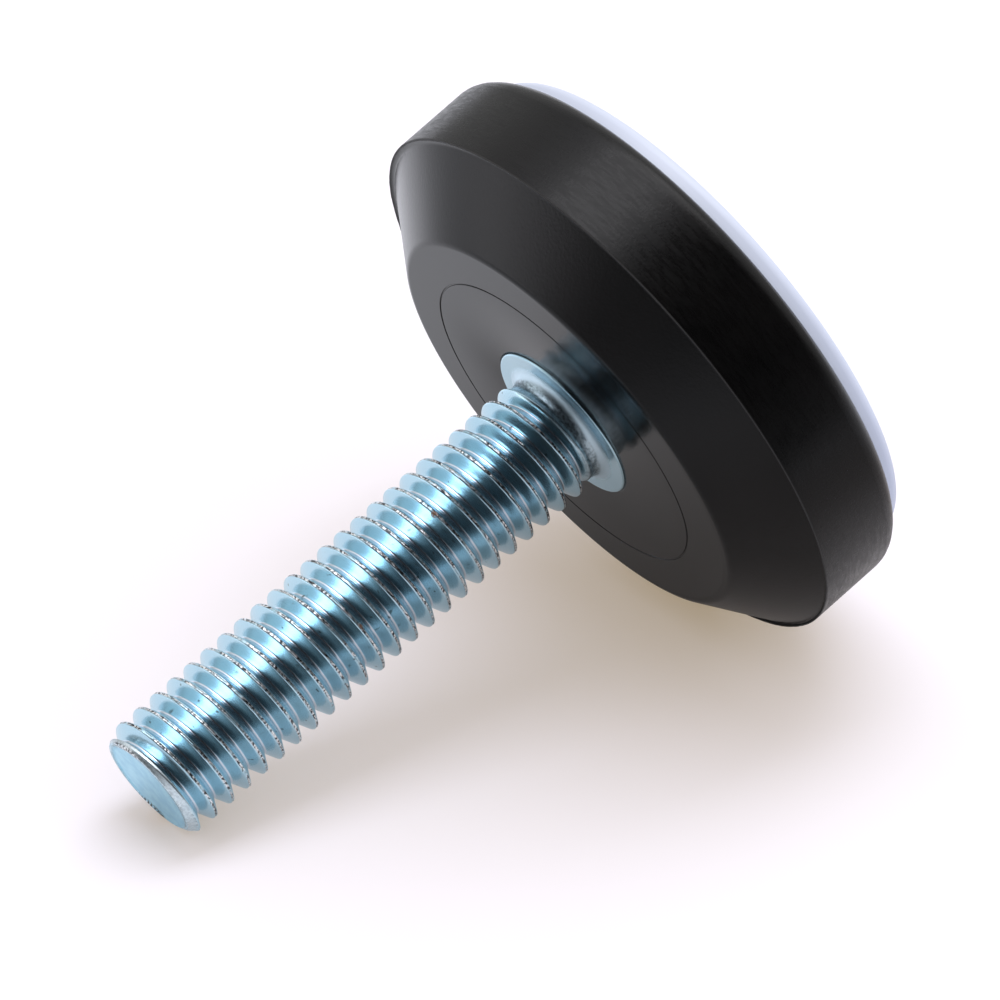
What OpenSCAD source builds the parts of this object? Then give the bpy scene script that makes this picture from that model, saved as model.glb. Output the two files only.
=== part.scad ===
// Furniture glide: a headed steel stud moulded into a rubber cushion, with a hard
// slide pad keyed into the cushion's underside. It stands on the pad, stud upward,
// with the origin at the middle of the pad's sole. All sizes are in millimetres.

/* [Stud] */
// Diameter over the crests of the M6 thread
thread_d = 5.8; // [4.6:0.1:7]
// Length from the cushion's face to the tip
stud_length = 25; // [10:0.5:60]
// Length of the chamfer at the tip
tip_chamfer = 0.5; // [0.2:0.1:1]
// How far the tip's chamfer narrows the radius
tip_narrowing = 0.4; // [0.2:0.1:1]
// Length of the plain neck between the collar and the thread
neck_length = 1.1; // [0.9:0.1:3]
// How far the neck lies below the thread's crests
neck_depth = 0.25; // [0.1:0.05:0.6]

/* [Collar and anchor] */
// Diameter of the collar that shows in the cushion's face
collar_d = 7.9; // [7.2:0.1:12]
// How far the collar stands above the cushion's face
collar_proud = 0.1; // [0.05:0.05:0.5]
// Radius of the fillet between the neck and the collar
collar_fillet = 0.6; // [0.2:0.1:0.8]
// Radius that breaks the collar's edge
collar_edge = 0.08; // [0.02:0.01:0.1]
// Diameter of the anchor head inside the rubber
anchor_d = 18; // [12:0.5:22]
// Thickness of the anchor head
anchor_thickness = 1.6; // [1:0.1:2.5]
// Radius of the fillet under the collar and of the anchor's edges
anchor_round = 0.4; // [0.1:0.1:0.5]

/* [Cushion] */
// Height of the cushion's face above the floor
base_height = 8.3; // [6.6:0.1:14]
// Diameter of the cushion's rim
rim_d = 28; // [23:0.5:50]
// Height of the rim's wall
rim_height = 4.55; // [3.7:0.05:5.5]
// Radius at the rim's lower edge
rim_edge = 0.9; // [0.1:0.1:0.9]
// Width of the ledge between the rim's edge and the flare
ledge_width = 0.25; // [0.25:0.05:1.5]
// Width of the flare, seen from above
flare_width = 3.45; // [2:0.05:6]
// Radius of the round between the face and the flare
face_edge = 0.5; // [0.2:0.1:1.5]
// Radius of the fillet at the foot of the flare
flare_foot = 0.2; // [0.1:0.1:0.8]
// Thickness of rubber between the anchor and the pad
cushion_gap = 1.1; // [0.6:0.1:1.5]

/* [Mould marks] */
// Radius of the parting bead on the rim's upper edge
bead_radius = 0.08; // [0.03:0.01:0.15]
// Distance of the mould insert's ring from the edge of the flat face
ring_inset = 2.24; // [0.5:0.01:2.5]
// Width of the mould insert's ring
ring_width = 0.1; // [0.05:0.01:0.2]
// Depth of the mould insert's ring
ring_depth = 0.06; // [0.03:0.01:0.15]
// Width and depth of the recess around the collar
collar_recess = 0.07; // [0.05:0.01:0.3]

/* [Slide pad] */
// Thickness of rubber around the pad
pad_wall = 1; // [0.8:0.1:3]
// How far the pad stands below the cushion
pad_proud = 1.1; // [0.8:0.1:1.6]
// Depth of the pad's key inside the cushion
pad_key_depth = 1.4; // [0.8:0.1:1.7]
// How far the key narrows where it enters the cushion
pad_undercut = 0.5; // [0.2:0.1:1]
// Height that the sole rises from its flat to its edge
sole_rise = 0.15; // [0.05:0.05:0.3]
// Width of the rising border of the sole
sole_border = 4; // [2:0.5:6]
// Radius of the pad's outer edge
pad_edge = 0.5; // [0.2:0.1:0.6]

/* [Hidden] */
$fn = 128;

thread_r = thread_d / 2;
neck_r = thread_r - neck_depth;
tip_r = thread_r - tip_narrowing;
collar_r = collar_d / 2;
anchor_r = anchor_d / 2;
rim_r = rim_d / 2;

// Heights above the floor
tip_z = base_height + stud_length;
collar_z = base_height + collar_proud;
thread_end_z = collar_z + neck_length;
ledge_z = pad_proud + rim_height;
pad_top_z = pad_proud + pad_key_depth;
anchor_bottom_z = pad_top_z + cushion_gap;
anchor_top_z = anchor_bottom_z + anchor_thickness;

// The flare's foot on the ledge, and the corner where it would meet the face
foot_r = rim_r - ledge_width;
face_r = foot_r - flare_width;

// The round on the face's edge ends this far inside the corner
flare_angle = atan2(base_height - ledge_z, flare_width);
face_flat_r = face_r - face_edge * tan(flare_angle / 2);
ring_r = face_flat_r - ring_inset;

pad_r = rim_r - pad_wall;
sole_r = pad_r - sole_border;

// The sliver between corner p and the arc that touches both its edges, which run
// towards points a and b: cut away it rounds the corner, added it fillets it.
module corner_sliver(p, a, b, radius) {
    u = (a - p) / norm(a - p);
    v = (b - p) / norm(b - p);
    half_angle = acos(u * v) / 2;
    reach = radius / tan(half_angle);
    centre = p + (u + v) / norm(u + v) * radius / sin(half_angle);
    difference() {
        polygon([p, p + reach * u, centre, p + reach * v]);
        translate(centre) circle(radius);
    }
}

// Half section of the stud: thread, neck, collar, shank and anchor head
module stud_section() {
    anchor_root = [collar_r, anchor_top_z];
    anchor_upper = [anchor_r, anchor_top_z];
    anchor_lower = [anchor_r, anchor_bottom_z];
    neck_root = [neck_r, collar_z];
    collar_rim = [collar_r, collar_z];
    difference() {
        union() {
            polygon([
                [0, tip_z],
                [tip_r, tip_z],
                [thread_r, tip_z - tip_chamfer],
                [thread_r, thread_end_z],
                [neck_r, thread_end_z - neck_depth],
                neck_root,
                collar_rim,
                anchor_root,
                anchor_upper,
                anchor_lower,
                [0, anchor_bottom_z]
            ]);
            corner_sliver(neck_root, [neck_r, tip_z], collar_rim, collar_fillet);
            corner_sliver(anchor_root, collar_rim, anchor_upper, anchor_round);
        }
        corner_sliver(collar_rim, neck_root, anchor_root, collar_edge);
        corner_sliver(anchor_upper, anchor_root, anchor_lower, anchor_round);
        corner_sliver(anchor_lower, anchor_upper, [0, anchor_bottom_z], anchor_round);
    }
}

// Half section of the slide pad: rising sole, edge and undercut key
module pad_section() {
    sole_edge = [pad_r, sole_rise];
    shoulder = [pad_r, pad_proud];
    difference() {
        polygon([
            [0, 0],
            [sole_r, 0],
            sole_edge,
            shoulder,
            [pad_r - pad_undercut, pad_proud],
            [pad_r, pad_top_z],
            [0, pad_top_z]
        ]);
        corner_sliver(sole_edge, [sole_r, 0], shoulder, pad_edge);
    }
}

// Half section of the cushion as if it were solid: rim, ledge, flare and face
module cushion_outline() {
    lower_rim = [rim_r, pad_proud];
    upper_rim = [rim_r, ledge_z];
    foot = [foot_r, ledge_z];
    face_corner = [face_r, base_height];
    face_middle = [0, base_height];
    difference() {
        union() {
            polygon([[0, pad_proud], lower_rim, upper_rim, foot, face_corner, face_middle]);
            corner_sliver(foot, upper_rim, face_corner, flare_foot);
            translate([rim_r - bead_radius, ledge_z]) circle(bead_radius);
        }
        corner_sliver(face_corner, foot, face_middle, face_edge);
        corner_sliver(lower_rim, upper_rim, [0, pad_proud], rim_edge);
    }
}

module stud() {
    color([0.70, 0.80, 0.85]) rotate_extrude() stud_section();
}

module cushion() {
    color([0.13, 0.13, 0.13]) rotate_extrude() difference() {
        cushion_outline();
        stud_section();
        pad_section();
        translate([ring_r, base_height]) square([ring_width, 2 * ring_depth], center = true);
        translate([collar_r, base_height]) square(2 * collar_recess, center = true);
    }
}

module slide_pad() {
    color([0.86, 0.88, 0.95]) rotate_extrude() pad_section();
}

stud();
cushion();
slide_pad();
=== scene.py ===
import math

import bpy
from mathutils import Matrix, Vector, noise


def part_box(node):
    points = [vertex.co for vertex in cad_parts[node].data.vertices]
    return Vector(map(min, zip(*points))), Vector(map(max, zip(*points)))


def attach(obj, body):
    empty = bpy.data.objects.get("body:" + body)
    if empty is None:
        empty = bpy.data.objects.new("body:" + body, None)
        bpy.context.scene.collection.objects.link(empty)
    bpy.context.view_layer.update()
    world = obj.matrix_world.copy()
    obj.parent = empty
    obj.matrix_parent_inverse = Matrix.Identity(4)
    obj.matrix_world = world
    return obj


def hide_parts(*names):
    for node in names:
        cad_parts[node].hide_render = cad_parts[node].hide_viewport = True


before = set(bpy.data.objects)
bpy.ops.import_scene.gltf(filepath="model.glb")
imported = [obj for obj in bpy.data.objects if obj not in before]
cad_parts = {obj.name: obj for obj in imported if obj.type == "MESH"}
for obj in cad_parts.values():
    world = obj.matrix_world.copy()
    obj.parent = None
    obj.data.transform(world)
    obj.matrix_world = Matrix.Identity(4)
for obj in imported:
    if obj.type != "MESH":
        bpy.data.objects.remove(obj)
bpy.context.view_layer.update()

# Looks of the threaded furniture glide: a zinc-plated stud with a rolled thread, a moulded
# rubber cushion and a pale slide pad. The glide leans on its side on a white table, in the
# frame of the CAD part, so it is the table that is tilted. Lengths are in millimetres until
# a mesh or a place is made. The table's own size and the spots on it are in metres.

MM = 0.001               # in metres
METRE = 1000.0           # in millimetres
BUMP_DEPTH = 0.02 * MM


def box_mm(node):
    """Lowest and highest corner of a CAD node, in millimetres."""
    low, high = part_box(node)
    return low / MM, high / MM


# ---------------------------------------------------------------- sizes from the frame

STUD_LOW, STUD_HIGH = box_mm("stud")
CUSHION_LOW, CUSHION_HIGH = box_mm("cushion")
PAD_HIGH = box_mm("slide_pad")[1]

TIP_Z = STUD_HIGH.z
FACE_Z = CUSHION_HIGH.z
RIM_R = CUSHION_HIGH.x
RIM_FOOT_Z = CUSHION_LOW.z
ANCHOR_R = STUD_HIGH.x
ANCHOR_LOW_Z = STUD_LOW.z
PAD_R = PAD_HIGH.x
PAD_TOP_Z = PAD_HIGH.z

# ---------------------------------------------------------------- sizes of the stud

PITCH = 1.0
CREST_R = 2.9
CREST_HALF = 0.08        # half width of the crest, where the flanks' lines meet its height
ROOT_ROUND = 0.06        # radius at the bottom of the groove
ROOT_FLAT = 0.02         # half width of the flat at the bottom of the groove
FLANK_SLOPE = math.tan(math.radians(60))
SEAM_DEPTH = 0.022       # the seam that rolling leaves along the crest
THREAD_PHASE = 0.42      # height of a crest on the side that the camera sees as upper left
TIP_R = 2.5
TIP_CHAMFER = 0.5
END_DEPTH = 0.05         # how far the end face lies below its edge
NECK_R = 2.65
RUN_OUT = (9.08, 9.55)   # heights between which the thread fades into the neck
COLLAR_R = 3.95
COLLAR_Z = FACE_Z + 0.1
COLLAR_FILLET = 0.6
COLLAR_EDGE = 0.08
ANCHOR_TOP_Z = 5.2
ANCHOR_ROUND = 0.4
THREAD_COLUMNS = 144

# Spots on the stud: place, reach and fade
RUST_SPOTS = (
    ((-2.81, -0.71, 16.34), 0.10, 0.24),
    ((-2.78, 0.85, 22.01), 0.08, 0.22),
)
TIP_NICKS = (            # where the edge of the end face is nicked
    ((-1.60, -1.90, TIP_Z), 0.50, 1.50),
    ((2.40, 0.80, TIP_Z), 0.60, 1.30),
)
TIP_GOUGES = (           # where the nicks reach into the end face
    ((2.28, 1.02, TIP_Z), 0.55, 0.95),
)

# ---------------------------------------------------------------- sizes of the cushion and pad

RIM_HEIGHT = 4.55
RIM_EDGE = 0.9
LEDGE_Z = RIM_FOOT_Z + RIM_HEIGHT
LEDGE_WIDTH = 0.25
FLARE_WIDTH = 3.45
FLARE_FOOT = 0.2
FLARE_SHIFT = (-0.20, 0.18)   # how far the face was moulded off the axis
FOOT_SHIFT = 0.45             # the share of it at the flare's foot
FACE_EDGE = 0.5
FOOT_R = RIM_R - LEDGE_WIDTH
FACE_R = FOOT_R - FLARE_WIDTH
FLARE_ANGLE = math.atan2(FACE_Z - LEDGE_Z, FLARE_WIDTH)
FLAT_R = FACE_R - FACE_EDGE * math.tan(FLARE_ANGLE / 2)
RING_INSET = 2.24
RING_R = FLAT_R - RING_INSET
RING_WIDTH = 0.1
RING_DEPTH = 0.06
COLLAR_RECESS = 0.07
GAP_BEARING = math.radians(-125)   # the side on which that recess is open
PAD_UNDERCUT = 0.5
SOLE_BORDER = 4
SOLE_R = PAD_R - SOLE_BORDER
SOLE_RISE = 0.15
SOLE_ROUND = 2.0
PAD_EDGE = 0.5
CUSHION_COLUMNS = 320
PAD_COLUMNS = 192
CRISP = 0.02             # radius that breaks an edge which is almost sharp

# ---------------------------------------------------------------- camera and table

CAMERA_BEARING = 270.0   # degrees round the axis, counted from the -y side towards +x
CAMERA_DISTANCE = 313.9  # from the axis
CAMERA_HEIGHT = 100.55
CAMERA_ROLL = 131.35     # turned so that the stud points to the lower left
CAMERA_LENS = 265.6
AIM_ASIDE = -0.73        # where the view's middle passes the axis
AIM_HEIGHT = 12.83
TABLE_BEARING = CAMERA_BEARING - 137.3
TABLE_HALF = 0.9         # half the table's width, in metres
TABLE_CLEARANCE = 0.02
TIP_CONTACT_Z = 32.6

THREAD_START = THREAD_PHASE - CAMERA_BEARING / 360   # height of a crest at bearing 90


# ---------------------------------------------------------------- material helpers

class Value:
    """One value of a material, such as a mask. Arithmetic on it adds Math nodes."""

    def __init__(self, graph, socket):
        self.graph = graph
        self.socket = socket

    def math(self, operation, *values):
        return self.graph.add("ShaderNodeMath", {"operation": operation}, dict(enumerate(values)))

    def __add__(self, other):
        return self.math("ADD", self, other)

    def __radd__(self, other):
        return self.math("ADD", other, self)

    def __sub__(self, other):
        return self.math("SUBTRACT", self, other)

    def __rsub__(self, other):
        return self.math("SUBTRACT", other, self)

    def __mul__(self, other):
        return self.math("MULTIPLY", self, other)

    def __rmul__(self, other):
        return self.math("MULTIPLY", other, self)

    def __truediv__(self, other):
        return self.math("DIVIDE", self, other)

    def step(self, low, high):
        """0 below low, 1 above high, smooth between them; low may be the larger."""
        settings = {"interpolation_type": "SMOOTHSTEP"}
        if low <= high:
            return self.graph.add("ShaderNodeMapRange", settings,
                                  {"Value": self, "From Min": low, "From Max": high})
        return 1 - self.step(high, low)

    def larger(self, other):
        return self.math("MAXIMUM", self, other)

    def root(self):
        return self.math("SQRT", self)

    def size(self):
        return self.math("ABSOLUTE", self)

    def dot(self, direction):
        """How far a vector goes along a fixed direction."""
        return self.graph.add("ShaderNodeVectorMath", {"operation": "DOT_PRODUCT"},
                              {0: self, 1: direction}, output="Value")

    def near(self, point, reach, fade):
        """1 within reach of a fixed point, 0 beyond the fade."""
        gap = self.graph.add("ShaderNodeVectorMath", {"operation": "DISTANCE"},
                             {0: self, 1: point}, output="Value")
        return gap.step(fade, reach)


class Graph:
    """The nodes of one material, or of the world."""

    def __init__(self, tree):
        self.tree = tree
        tree.nodes.clear()

    def add(self, kind, settings=None, inputs=None, output=0):
        """Adds a node: its settings first, then the values or links of its sockets."""
        node = self.tree.nodes.new(kind)
        for name, setting in (settings or {}).items():
            setattr(node, name, setting)
        for name, value in (inputs or {}).items():
            if isinstance(value, Value):
                self.tree.links.new(value.socket, node.inputs[name])
            else:
                node.inputs[name].default_value = value
        return Value(self, node.outputs[output]) if len(node.outputs) else None

    def position(self):
        """The place on the object, in metres of the part's frame."""
        return self.add("ShaderNodeTexCoord", output="Object")

    def scaled(self, vector, scale):
        return self.add("ShaderNodeVectorMath", {"operation": "MULTIPLY"}, {0: vector, 1: scale})

    def parts(self, vector):
        """The x, y and z of a vector."""
        node = self.add("ShaderNodeSeparateXYZ", {}, {0: vector}).socket.node
        return [Value(self, socket) for socket in node.outputs]

    def noise(self, vector, scale, detail=3.0, roughness=0.55):
        return self.add("ShaderNodeTexNoise", {"noise_dimensions": "3D"},
                        {"Vector": vector, "Scale": scale, "Detail": detail,
                         "Roughness": roughness})

    def mix(self, share, first, second):
        """A colour between two colours."""
        node = self.tree.nodes.new("ShaderNodeMix")
        node.data_type = "RGBA"
        sockets = {"Factor_Float": share, "A_Color": first, "B_Color": second}
        for socket in node.inputs:
            if socket.identifier in sockets:
                value = sockets[socket.identifier]
                if isinstance(value, Value):
                    self.tree.links.new(value.socket, socket)
                else:
                    socket.default_value = value if isinstance(value, float) else (*value, 1.0)
        return Value(self, next(s for s in node.outputs if s.identifier == "Result_Color"))

    def ray(self, kind):
        """1 for one kind of ray, 0 for the others."""
        return self.add("ShaderNodeLightPath", output=kind)

    def near_any(self, place, spots):
        """1 near any of some spots, which are (point, reach, fade) in millimetres."""
        share = 0.0
        for point, reach, fade in spots:
            share = place.near(tuple(Vector(point) * MM), reach * MM, fade * MM) + share
        return share

    def shows_background(self):
        """1 for the rays in which the white background is seen, straight, mirrored or through."""
        seen = self.ray("Is Camera Ray").larger(self.ray("Is Glossy Ray"))
        return seen.larger(self.ray("Is Transmission Ray"))

    def bump(self, height, strength):
        return self.add("ShaderNodeBump", {},
                        {"Height": height, "Strength": strength, "Distance": BUMP_DEPTH})


def material(name):
    """A new material with an empty graph."""
    made = bpy.data.materials.new(name)
    made.use_nodes = True
    return made, Graph(made.node_tree)


def finish_surface(graph, shader):
    graph.add("ShaderNodeOutputMaterial", {}, {"Surface": shader})


# ---------------------------------------------------------------- materials

def zinc_plating():
    """Bright zinc under a pale blue chromate. The seam along the crests is pitted and partly bare,
    the neck is rough and dull, and the edge of the end face is nicked."""
    made, g = material("zinc_plating")
    place = g.position()
    x, y, z = g.parts(place)
    radius = (x * x + y * y).root() * METRE
    height = z * METRE

    turn = y.math("ARCTAN2", y, x) / (2 * math.pi)
    along = height / PITCH - turn - (THREAD_START - 0.5)
    from_crest = (along.math("FRACT", along) - 0.5).size()
    on_tip = height.step(TIP_Z - 0.45, TIP_Z - 0.25)
    on_thread = height.step(*RUN_OUT) * (1 - on_tip)
    seam = from_crest.step(0.072, 0.045) * on_thread
    root = from_crest.step(0.42, 0.48) * on_thread
    nicked = 0.15 + 0.85 * g.near_any(place, TIP_NICKS)
    burr = on_tip * radius.step(TIP_R - 0.32, TIP_R - 0.22)
    burr = burr * radius.step(TIP_R + 0.10, TIP_R + 0.02) * nicked
    gouges = on_tip * g.near_any(place, TIP_GOUGES) * radius.step(TIP_R - 0.75, TIP_R - 0.30)
    chamfer = on_tip * radius.step(TIP_R - 0.04, TIP_R + 0.04)
    end = on_tip * radius.step(TIP_R - 0.12, TIP_R - 0.22)
    low = height.step(RUN_OUT[1], RUN_OUT[0]) * height.step(COLLAR_Z - 0.02, COLLAR_Z + 0.01)
    neck = low * radius.step(NECK_R + 0.16, NECK_R + 0.05)
    # The fillet between the neck and the collar carries a painted highlight, laid on below.
    fillet_highlight = low * radius.step(NECK_R + 0.03, NECK_R + 0.16)
    fillet_highlight = fillet_highlight * radius.step(NECK_R + COLLAR_FILLET + 0.01, NECK_R + 0.35)

    cloud = g.noise(place, 220.0, 3.0)
    blotch = g.noise(place, 1500.0, 3.0)
    pits = g.noise(place, 8500.0, 4.0, 0.65)
    scratches = g.noise(g.scaled(place, (1.0, 1.0, 2.0)), 4200.0, 4.0, 0.7)
    drawn = g.noise(g.scaled(place, (1.0, 1.0, 14.0)), 380.0, 3.0)
    specks = g.noise(place, 2600.0, 1.0).step(0.735, 0.76) * on_thread

    plated = g.mix(cloud.step(0.35, 0.65), (0.45, 0.66, 0.77), (0.50, 0.71, 0.81))
    # Painted highlight: the bottom of the groove is tinted a lighter pale pink, standing in for
    # the reflection that the concave root shows.
    plated = g.mix(root * 0.5, plated, (0.84, 0.78, 0.86))
    sawn = g.mix(blotch.step(0.35, 0.65), (0.33, 0.63, 0.80), (0.43, 0.73, 0.87))
    broken = g.mix(pits.step(0.35, 0.65), (0.50, 0.54, 0.56), (0.73, 0.78, 0.80))
    worn = g.mix(pits.step(0.46, 0.54), (0.05, 0.05, 0.055), (0.92, 0.95, 0.97))
    dull = g.mix(scratches.step(0.38, 0.62), (0.17, 0.22, 0.26), (0.50, 0.62, 0.69))
    colour = g.mix(end, plated, sawn)
    colour = g.mix(chamfer * (0.5 + blotch * 0.5), colour, broken)
    colour = g.mix((seam + burr) * blotch.step(0.32, 0.52), colour, worn)
    colour = g.mix(neck * 0.85, colour, dull)
    # Painted highlight: the fillet is made a lighter, paler blue, and rougher so that it stays
    # even.
    colour = g.mix(fillet_highlight * (0.4 + scratches * 0.5), colour, (0.68, 0.80, 0.88))
    colour = g.mix(specks * 0.8, colour, (0.12, 0.15, 0.15))
    colour = g.mix(gouges * pits.step(0.54, 0.48), colour, (0.02, 0.025, 0.03))
    rust = g.near_any(place, RUST_SPOTS) * pits.step(0.36, 0.52)
    colour = g.mix(rust, colour, (0.30, 0.16, 0.10))

    roughness = (0.19 + seam * 0.06 + neck * 0.08 + fillet_highlight * 0.22 + chamfer * 0.12 + end * 0.12
                 + rust * 0.30 + cloud * 0.05)
    relief = (drawn * 0.5 + pits * (0.10 + seam * 3.4 + burr * 3.4 + chamfer * 1.3 + neck * 0.8)
              + scratches * (neck * 0.6 + fillet_highlight * 0.5))
    relief = g.bump(relief, 0.35)
    shader = g.add("ShaderNodeBsdfPrincipled", {}, {
        "Base Color": colour, "Metallic": 1.0, "Roughness": roughness, "Normal": relief})
    finish_surface(g, shader)
    return made


def black_rubber():
    """Moulded rubber: a smooth flat face, and a slightly coarser flare and rim."""
    made, g = material("black_rubber")
    place = g.position()
    x, y, z = g.parts(place)
    radius = (x * x + y * y).root() * METRE
    height = z * METRE
    face = radius.step(FLAT_R + 0.05, FLAT_R - 0.1)
    rim = radius.step(RIM_R - 0.2, RIM_R - 0.05)
    flash = radius.step(RIM_R - 0.16, RIM_R - 0.11) * height.step(LEDGE_Z - 0.02, LEDGE_Z + 0.03)

    grain = g.noise(place, 6500.0, 3.0, 0.6)
    cloud = g.noise(place, 160.0, 3.0)
    flow = g.noise(g.scaled(place, (1.0, 1.0, 6.0)), 1000.0, 5.0, 0.7)
    colour = g.mix(cloud.step(0.3, 0.7), (0.0009, 0.0009, 0.0009), (0.0026, 0.0023, 0.0022))
    # The flash along the parting line is real, but its much lighter colour is a painted sheen.
    colour = g.mix(flash, colour, (0.030, 0.029, 0.028))
    roughness = (0.20 - face * 0.10 + cloud * 0.08 + rim * flow.step(0.35, 0.65) * 0.12
                 + flash * 0.2)
    relief = g.bump(grain * (2.0 - face * 1.2) + rim * flow * 0.5, 0.14)
    shader = g.add("ShaderNodeBsdfPrincipled", {}, {
        "Base Color": colour, "Roughness": roughness, "Normal": relief, "IOR": 1.275})
    finish_surface(g, shader)
    return made


def pale_plastic():
    """Hard, smooth moulded plastic with a faint lavender tone."""
    made, g = material("pale_plastic")
    place = g.position()
    cloud = g.noise(place, 240.0, 3.0)
    grain = g.noise(place, 3000.0, 2.0)
    colour = g.mix(cloud, (0.53, 0.575, 0.69), (0.58, 0.625, 0.74))
    roughness = 0.34 + cloud * 0.08
    relief = g.bump(grain, 0.05)
    shader = g.add("ShaderNodeBsdfPrincipled", {}, {
        "Base Color": colour, "Roughness": roughness, "Normal": relief})
    finish_surface(g, shader)
    return made


def table_white():
    """The white table. Mirrored in the glide it carries painted light and shade: a painted pool of
    light on its left, painted shade under the glide, painted light at two places beside it, and in
    front a painted falloff into a dark room. It is clear from behind, so that views from under it
    still see the glide."""
    made, g = material("table_white")
    place = g.position()
    across = g.parts(place)[1]
    behind = g.add("ShaderNodeNewGeometry", output="Backfacing")
    mirrored = g.ray("Is Glossy Ray")
    # Painted dark: in reflections the table's front falls to almost black, a painted falloff into
    # a dark room, though the table goes on.
    front = across.step(-0.030, -0.060) * mirrored
    # Painted shade under the glide: in reflections the table there is darker and glows less.
    under = place.near((0.020, -0.012, 0.0), 0.020, 0.050) * mirrored
    # Painted pool of light on the table's left: in reflections it glows at almost twice white.
    pool = place.near((-0.142, -0.008, 0.0), 0.015, 0.075) * mirrored
    # Painted light behind the flare: a glowing patch on the table, seen in reflections.
    painted_light_behind_flare = place.near((-0.033, 0.033, 0.0), 0.006, 0.024) * mirrored
    # Painted light beside the rim: a small glowing patch on the table, seen in reflections.
    painted_light_beside_rim = place.near((0.016, -0.008, 0.0), 0.004, 0.013) * mirrored

    white = g.mix(mirrored, (0.63, 0.655, 0.78), (0.58, 0.61, 0.67))
    white = g.mix(under, white, (0.45, 0.43, 0.44))
    white = g.mix(front, white, (0.10, 0.10, 0.10))
    white = g.add("ShaderNodeBsdfDiffuse", {}, {"Color": white})
    glow = g.mix(g.shows_background(), (0.0, 0.0, 0.0), (0.31, 0.235, 0.13))
    glow = g.mix(mirrored, glow, (0.26, 0.24, 0.22))
    glow = g.mix(under, glow, (0.085, 0.07, 0.055))
    glow = g.mix(painted_light_behind_flare, glow, (0.66, 0.64, 0.66))
    glow = g.mix(painted_light_beside_rim, glow, (0.27, 0.26, 0.27))
    glow = g.mix(front, glow, (0.02, 0.02, 0.02))
    glow = g.mix(pool, glow, (1.95, 1.9, 1.95))
    glow = g.add("ShaderNodeEmission", {}, {"Color": glow, "Strength": 1.0})
    white = g.add("ShaderNodeAddShader", {}, {0: white, 1: glow})
    clear = g.add("ShaderNodeBsdfTransparent")
    finish_surface(g, g.add("ShaderNodeMixShader", {}, {0: behind, 1: white, 2: clear}))
    return made


# ---------------------------------------------------------------- mesh helpers

def rounded(corners, steps=6, guard=0.02):
    """Points of a section from corners (r, z, rounding radius). A guard point on each side of an
    arc keeps the flats next to it flat when the surface is shaded smooth."""
    points = []
    for index, (r, z, radius) in enumerate(corners):
        here = Vector((r, z))
        if radius == 0:
            points.append(here)
            continue
        before = Vector(corners[index - 1][:2]) - here
        after = Vector(corners[index + 1][:2]) - here
        u, v = before.normalized(), after.normalized()
        half = u.angle(v) / 2
        reach = radius / math.tan(half)
        middle = here + (u + v).normalized() * radius / math.sin(half)
        start, end = here + reach * u, here + reach * v
        turn = (start - middle).angle(end - middle)
        points.append(start + u * guard)
        for step in range(steps + 1):
            share = step / steps
            spoke = ((start - middle) * math.sin((1 - share) * turn)
                     + (end - middle) * math.sin(share * turn)) / math.sin(turn)
            points.append(middle + spoke)
        points.append(end + v * guard)
    return points


class Surface:
    """Vertices and faces of a closed surface that is built round the axis in columns."""

    def __init__(self, columns):
        self.columns = columns
        self.vertices = []
        self.faces = []

    def angle(self, column):
        return 2 * math.pi * column / self.columns

    def vertex(self, column, radius, height, aside=(0.0, 0.0)):
        """Adds a point. It is moved aside where the surface isn't true to the axis."""
        angle = self.angle(column)
        x = radius * math.cos(angle) + aside[0]
        y = radius * math.sin(angle) + aside[1]
        self.vertices.append((x * MM, y * MM, height * MM))
        return len(self.vertices) - 1

    def pole(self, height):
        """A point on the axis, used by every column."""
        index = self.vertex(0, 0.0, height)
        return [index] * self.columns

    def ring(self, radius, height, aside=(0.0, 0.0)):
        """A ring of points. Radius and height may be numbers or functions of the angle."""
        ring = []
        for column in range(self.columns):
            angle = self.angle(column)
            r = radius(angle) if callable(radius) else radius
            z = height(angle) if callable(height) else height
            ring.append(self.vertex(column, r, z, aside))
        return ring

    def face(self, corners):
        """Adds a face, without the corners that it has twice."""
        kept = [c for i, c in enumerate(corners) if c != corners[i - 1]]
        if len(set(kept)) == len(kept) and len(kept) > 2:
            self.faces.append(kept)

    def join(self, *rings):
        """Faces between each ring and the next, seen from outside in the section's order."""
        for lower, upper in zip(rings, rings[1:]):
            for column in range(self.columns):
                beside = (column + 1) % self.columns
                self.face([lower[column], lower[beside], upper[beside], upper[column]])

    def lathe(self, points, aside=None):
        """Rings for the points of a section, joined in their order. Returns the first and the
        last. The function aside says how far a ring of some radius is moved off the axis."""
        rings = []
        for radius, height in points:
            if radius < 1e-6:
                rings.append(self.pole(height))
            else:
                rings.append(self.ring(radius, height, aside(radius) if aside else (0.0, 0.0)))
        self.join(*rings)
        return rings[0], rings[-1]

    def make(self, name, finish):
        """The finished piece, on the glide's one body."""
        mesh = bpy.data.meshes.new(name)
        mesh.from_pydata(self.vertices, [], self.faces)
        mesh.validate()
        mesh.update()
        mesh.shade_smooth()
        mesh.materials.append(finish)
        piece = bpy.data.objects.new(name, mesh)
        bpy.context.scene.collection.objects.link(piece)
        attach(piece, "root")
        return piece


def wobble(point, scale, seed):
    """Smooth noise between about -1 and 1 at a point in millimetres."""
    return noise.noise(Vector(point) * scale + Vector((seed, 2 * seed, 3 * seed)))


def smooth(value, low, high):
    """0 below low, 1 above high, smooth between them."""
    share = min(1.0, max(0.0, (value - low) / (high - low)))
    return share * share * (3 - 2 * share)


# ---------------------------------------------------------------- stud

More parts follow.
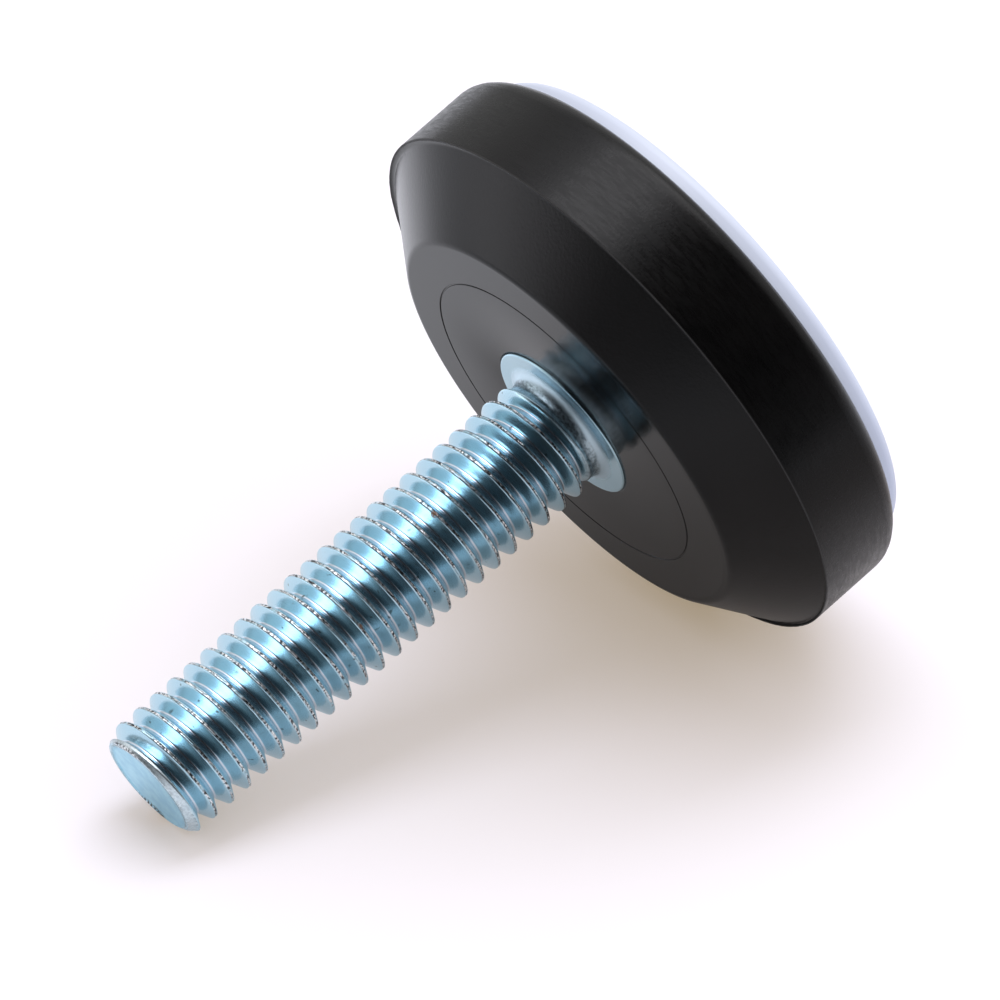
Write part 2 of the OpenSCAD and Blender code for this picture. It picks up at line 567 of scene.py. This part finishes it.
def thread_section():
    """Half a groove from the middle of the crest to the root: (share of the pitch, depth, how
    much of the seam's unevenness it takes)."""
    points = [
        (0.0, SEAM_DEPTH, 1.0),
        (0.018, SEAM_DEPTH * 0.9, 1.0),
        (0.040, SEAM_DEPTH * 0.2, 0.7),
        (0.060, 0.0, 0.3),
        (0.084, 0.016, 0.0),
    ]
    for share in (0.11, 0.24, 0.37):
        points.append((share, (share - CREST_HALF) * FLANK_SLOPE, 0.0))
    end = 0.5 - ROOT_FLAT - ROOT_ROUND * math.sin(math.radians(60))
    bottom = (end - CREST_HALF) * FLANK_SLOPE + ROOT_ROUND / 2
    for degrees in (60, 30, 0):
        lean = math.radians(degrees)
        share = 0.5 - ROOT_FLAT - ROOT_ROUND * math.sin(lean)
        points.append((share, bottom - ROOT_ROUND * (1 - math.cos(lean)), 0.0))
    points.append((0.5, bottom, 0.0))
    return points


def seam_unevenness(angle, height):
    """How far the seam on the crest departs from its section, at a crest's own place."""
    point = (CREST_R * math.cos(angle), CREST_R * math.sin(angle), height)
    return 0.035 * wobble(point, 2.6, 11.0) + 0.030 * wobble(point, 6.0, 5.0)


def make_stud(finish):
    stud = Surface(THREAD_COLUMNS)
    section = thread_section()
    half = len(section) - 1
    pitch_rows = 2 * half

    def thread_point(share_of_turn, row, turn):
        """Radius and height of a point of the thread before the tip and the neck trim it."""
        place = row if row <= half else pitch_rows - row
        share, depth, uneven = section[place]
        crest_turn = turn if row <= half else turn + 1
        crest_height = (share_of_turn + crest_turn + THREAD_START) * PITCH
        height = crest_height + (share if row <= half else -share) * PITCH
        angle = 2 * math.pi * share_of_turn
        drop = depth + uneven * seam_unevenness(angle, crest_height)
        return CREST_R - max(0.0, drop), height

    def trimmed(radius, height):
        """The thread's radius where it fades into the neck and where the tip is chamfered."""
        kept = smooth(height, *RUN_OUT)
        radius = NECK_R + (radius - NECK_R) * kept
        chamfer = TIP_R + (TIP_Z - height) * (CREST_R - TIP_R) / TIP_CHAMFER
        return min(radius, chamfer)

    low_z = RUN_OUT[0] - 0.05
    high_z = TIP_Z - 0.01
    first_turn = math.floor(low_z - THREAD_START) - 2
    turns = math.ceil(high_z - THREAD_START) + 1 - first_turn
    grid = []
    low_ring, high_ring, high_radii = [], [], []
    for column in range(THREAD_COLUMNS):
        share_of_turn = column / THREAD_COLUMNS
        raw = [thread_point(share_of_turn, row, first_turn + turn)
               for turn in range(turns) for row in range(pitch_rows)]
        ends = []
        for edge in (low_z, high_z):
            above = next(i for i, (_, z) in enumerate(raw) if z > edge)
            (r0, z0), (r1, z1) = raw[above - 1], raw[above]
            radius = r0 + (r1 - r0) * (edge - z0) / (z1 - z0)
            ends.append(stud.vertex(column, trimmed(radius, edge), edge))
        low_ring.append(ends[0])
        high_ring.append(ends[1])
        high_radii.append(trimmed(radius, high_z))
        grid.append([ends[0] if z <= low_z + 0.005 else ends[1] if z >= high_z - 0.005
                     else stud.vertex(column, trimmed(r, z), z) for r, z in raw])

    rows = turns * pitch_rows
    for column in range(THREAD_COLUMNS):
        beside = (column + 1) % THREAD_COLUMNS
        shift = pitch_rows if beside == 0 else 0
        for row in range(rows - 1 - shift):
            stud.face([grid[column][row], grid[beside][row + shift],
                       grid[beside][row + shift + 1], grid[column][row + 1]])

    below = rounded([
        (0.0, ANCHOR_LOW_Z, 0),
        (ANCHOR_R, ANCHOR_LOW_Z, ANCHOR_ROUND),
        (ANCHOR_R, ANCHOR_TOP_Z, ANCHOR_ROUND),
        (COLLAR_R, ANCHOR_TOP_Z, ANCHOR_ROUND),
        (COLLAR_R, COLLAR_Z, COLLAR_EDGE),
        (NECK_R, COLLAR_Z, COLLAR_FILLET),
        (NECK_R, low_z, 0),
    ])
    stud.join(stud.lathe(below[:-1])[1], low_ring)

    def lip(column, inset, lift):
        """The sheared edge of the end face, with its small burr."""
        angle = stud.angle(column)
        point = (2 * math.cos(angle), 2 * math.sin(angle), 0)
        edge = min(TIP_R, high_radii[column]) - inset
        radius = min(TIP_R - 0.14 + 0.06 * wobble(point, 1.7, 3.0), edge)
        return stud.vertex(column, radius, TIP_Z - 0.02 + lift * (1 + wobble(point, 3.5, 7.0)))

    stud.join(
        high_ring,
        [lip(column, 0.02, 0.008) for column in range(THREAD_COLUMNS)],
        [lip(column, 0.06, -0.006) for column in range(THREAD_COLUMNS)],
        stud.ring(TIP_R - 0.4, TIP_Z - END_DEPTH + 0.005),
        stud.ring(1.2, TIP_Z - END_DEPTH),
        stud.pole(TIP_Z - END_DEPTH),
    )
    piece = stud.make("zinc_plated_stud", finish)
    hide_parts("stud")


# ---------------------------------------------------------------- cushion

def make_cushion(finish):
    cushion = Surface(CUSHION_COLUMNS)

    def ridge(angle):
        """The parting line's flash is a little uneven round the rim."""
        around = (math.cos(angle) * RIM_R, math.sin(angle) * RIM_R, 0)
        return (0.02 * wobble(around, 0.5, 1.0) + 0.015 * wobble(around, 2.0, 4.0)
                + 0.01 * wobble(around, 6.0, 9.0))

    def off_axis(radius):
        """The face and its flare were moulded a little to one side of the stud."""
        share = smooth(radius, RING_R + 0.3, FLAT_R - 0.4)
        share *= 1 - (1 - FOOT_SHIFT) * smooth(radius, FACE_R, FOOT_R)
        return FLARE_SHIFT[0] * share, FLARE_SHIFT[1] * share

    recess_r = COLLAR_R + COLLAR_RECESS
    key_r = PAD_R - PAD_UNDERCUT
    wall_r = RIM_R - 0.02          # where the rim's wall meets the bead
    bottom = rounded([
        (0.0, PAD_TOP_Z, 0),
        (PAD_R, PAD_TOP_Z, 0),
        (key_r, RIM_FOOT_Z, 0),
        (RIM_R, RIM_FOOT_Z, RIM_EDGE),
        (RIM_R, LEDGE_Z, 0),
    ])[:-1]
    top = rounded([
        (RIM_R, LEDGE_Z, 0),
        (FOOT_R, LEDGE_Z, FLARE_FOOT),
        (FACE_R, FACE_Z, FACE_EDGE),
        (FLAT_R - 0.5, FACE_Z, 0),
        (FLAT_R - 1.0, FACE_Z, 0),
        (FLAT_R - 1.5, FACE_Z, 0),
        (RING_R + RING_WIDTH / 2, FACE_Z, CRISP),
        (RING_R + RING_WIDTH / 4, FACE_Z - RING_DEPTH, 0),
        (RING_R - RING_WIDTH / 4, FACE_Z - RING_DEPTH, 0),
        (RING_R - RING_WIDTH / 2, FACE_Z, CRISP),
        (recess_r + 0.03, FACE_Z, 0),
    ])[1:]
    inner = rounded([
        (COLLAR_R, FACE_Z, 0),
        (COLLAR_R, ANCHOR_TOP_Z, ANCHOR_ROUND),
        (ANCHOR_R, ANCHOR_TOP_Z, ANCHOR_ROUND),
        (ANCHOR_R, ANCHOR_LOW_Z, ANCHOR_ROUND),
        (0.0, ANCHOR_LOW_Z, 0),
    ])[1:]

    def gap(angle):
        """The recess round the collar is open on one side and pinched shut on the other."""
        return COLLAR_RECESS * (0.12 + 0.88 * smooth(math.cos(angle - GAP_BEARING), -0.7, 0.5))

    wall_end = cushion.lathe(bottom)[1]
    bead = [
        cushion.ring(wall_r, LEDGE_Z - 0.16),
        cushion.ring(wall_r, LEDGE_Z - 0.09),
        cushion.ring(lambda a: wall_r + ridge(a) * 0.3, LEDGE_Z - 0.02),
        cushion.ring(RIM_R - 0.025, lambda a: LEDGE_Z + 0.04 + ridge(a)),
        cushion.ring(RIM_R - 0.04, lambda a: LEDGE_Z + 0.06 + ridge(a)),
        cushion.ring(RIM_R - 0.07, lambda a: LEDGE_Z + 0.05 + ridge(a)),
        cushion.ring(RIM_R - 0.14, LEDGE_Z),
    ]
    cushion.join(wall_end, *bead)
    ledge, face_end = cushion.lathe(top, off_axis)
    cushion.join(bead[-1], ledge)
    recess = [
        cushion.ring(lambda a: COLLAR_R + gap(a) + 0.01, FACE_Z - 0.004),
        cushion.ring(lambda a: COLLAR_R + gap(a), FACE_Z - 0.015),
        cushion.ring(lambda a: COLLAR_R + 0.8 * gap(a), lambda a: FACE_Z - gap(a)),
        cushion.ring(COLLAR_R, lambda a: FACE_Z - gap(a)),
    ]
    cushion.join(face_end, *recess)
    cushion.join(recess[-1], cushion.lathe(inner)[0])
    piece = cushion.make("rubber_cushion", finish)
    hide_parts("cushion")


# ---------------------------------------------------------------- slide pad

def make_pad(finish):
    pad = Surface(PAD_COLUMNS)
    pad.lathe(rounded([
        (0.0, 0.0, 0),
        (SOLE_R, 0.0, SOLE_ROUND),
        (PAD_R, SOLE_RISE, PAD_EDGE),
        (PAD_R, RIM_FOOT_Z, CRISP),
        (PAD_R - PAD_UNDERCUT, RIM_FOOT_Z, 0),
        (PAD_R, PAD_TOP_Z, 0),
        (0.0, PAD_TOP_Z, 0),
    ]))
    piece = pad.make("slide_pad_disc", finish)
    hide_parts("slide_pad")


# ---------------------------------------------------------------- camera, table and light

def bearing_direction(bearing):
    """Level direction from the axis towards a bearing."""
    turn = math.radians(bearing)
    return Vector((math.sin(turn), -math.cos(turn), 0.0))


def make_camera():
    """Makes the camera and returns how it is turned."""
    towards = bearing_direction(CAMERA_BEARING)
    aside = Vector((-towards.y, towards.x, 0.0))
    place = towards * CAMERA_DISTANCE + Vector((0, 0, CAMERA_HEIGHT))
    aim = aside * AIM_ASIDE + Vector((0, 0, AIM_HEIGHT))
    level = (aim - place).to_track_quat("-Z", "Y").to_matrix()
    turned = level @ Matrix.Rotation(math.radians(-CAMERA_ROLL), 3, "Z")
    data = bpy.data.cameras.new("camera")
    data.lens = CAMERA_LENS
    data.sensor_width = 36.0
    data.clip_start = 0.01
    data.clip_end = 10.0
    camera = bpy.data.objects.new("camera", data)
    camera.matrix_world = Matrix.Translation(place * MM) @ turned.to_4x4()
    bpy.context.scene.collection.objects.link(camera)
    bpy.context.scene.camera = camera
    return turned


def table_frame(camera_turn):
    """The table's own axes and origin: right and away as the camera sees them, and up. The glide
    leans on the table with its rim's upper edge and the thread's last crest."""
    lean = math.atan2(RIM_R - CREST_R, TIP_CONTACT_Z - LEDGE_Z)
    into = bearing_direction(TABLE_BEARING) * math.cos(lean) + Vector((0, 0, math.sin(lean)))
    up = -into
    right = camera_turn @ Vector((1, 0, 0))
    right = (right - up * right.dot(up)).normalized()
    away = up.cross(right)
    reach = RIM_R * math.cos(lean) + LEDGE_Z * math.sin(lean) + TABLE_CLEARANCE
    turn = Matrix((right, away, up)).transposed().to_4x4()
    return Matrix.Translation(into * reach * MM) @ turn


def make_table(table, finish):
    mesh = bpy.data.meshes.new("table")
    signs = ((-1, -1), (1, -1), (1, 1), (-1, 1))
    corners = [(TABLE_HALF * x, TABLE_HALF * y, 0) for x, y in signs]
    mesh.from_pydata(corners, [], [(0, 1, 2, 3)])
    mesh.materials.append(finish)
    top = bpy.data.objects.new("table", mesh)
    top.matrix_world = table
    top.visible_shadow = False
    bpy.context.scene.collection.objects.link(top)


def softbox(name, table, place, aim, size, spin, radiance, colour):
    """A lamp at a place over the table, in millimetres, spun round its own middle by some
    degrees. Radiance 1 looks white."""
    data = bpy.data.lights.new(name, "AREA")
    data.shape = "RECTANGLE"
    data.size, data.size_y = size[0] * MM, size[1] * MM
    data.energy = radiance * math.pi * data.size * data.size_y
    data.color = colour
    lamp = bpy.data.objects.new(name, data)
    turn = (Vector(aim) - Vector(place)).to_track_quat("-Z", "Y").to_matrix().to_4x4()
    turn = turn @ Matrix.Rotation(math.radians(spin), 4, "Z")
    lamp.matrix_world = table @ Matrix.Translation(Vector(place) * MM) @ turn
    bpy.context.scene.collection.objects.link(lamp)


def make_world(table):
    """An even light, and a background that is white to the camera. In mirrored rays the white
    backdrop behind has its shading, and in front is a dark room that reaches from just over the
    horizon up to the softbox."""
    world = bpy.data.worlds.new("studio")
    world.use_nodes = True
    bpy.context.scene.world = world
    g = Graph(world.node_tree)
    direction = g.add("ShaderNodeTexCoord", output="Generated")
    turn = table.to_3x3()
    right, away, up = turn.col
    height = direction.dot(up)
    front = direction.dot(away).step(0.12, -0.28)
    dark = front * height.step(0.02, 0.20)
    overhead = (turn @ Vector((-0.25, 0.11, 0.96))).normalized()
    ceiling = direction.dot(overhead).step(0.83, 0.99)
    studio = g.mix(height.step(-0.10, 0.50), (0.45, 0.45, 0.44), (0.95, 0.95, 0.96))
    studio = g.mix(front, studio, (0.22, 0.22, 0.23))
    studio = g.mix(dark, studio, (0.006, 0.007, 0.009))
    studio = g.mix(ceiling, studio, (1.7, 1.7, 1.8))
    background = g.mix(g.ray("Is Glossy Ray"), (1.0, 1.0, 1.0), studio)
    even = g.mix(direction.dot(right).step(-0.5, 0.8), (0.73, 0.72, 0.74), (1.10, 1.09, 1.10))
    colour = g.mix(g.shows_background(), even, background)
    shader = g.add("ShaderNodeBackground", {}, {"Color": colour, "Strength": 1.0})
    g.add("ShaderNodeOutputWorld", {}, {"Surface": shader})


camera_turn = make_camera()
table = table_frame(camera_turn)
make_table(table, table_white())
make_world(table)
softbox("overhead", table, place=(55, 112, 420), aim=(55, 70, 0), size=(520, 230), spin=37,
        radiance=3.0, colour=(0.98, 0.97, 1.0))

make_stud(zinc_plating())
make_cushion(black_rubber())
make_pad(pale_plastic())

bpy.context.scene.view_settings.view_transform = "Standard"
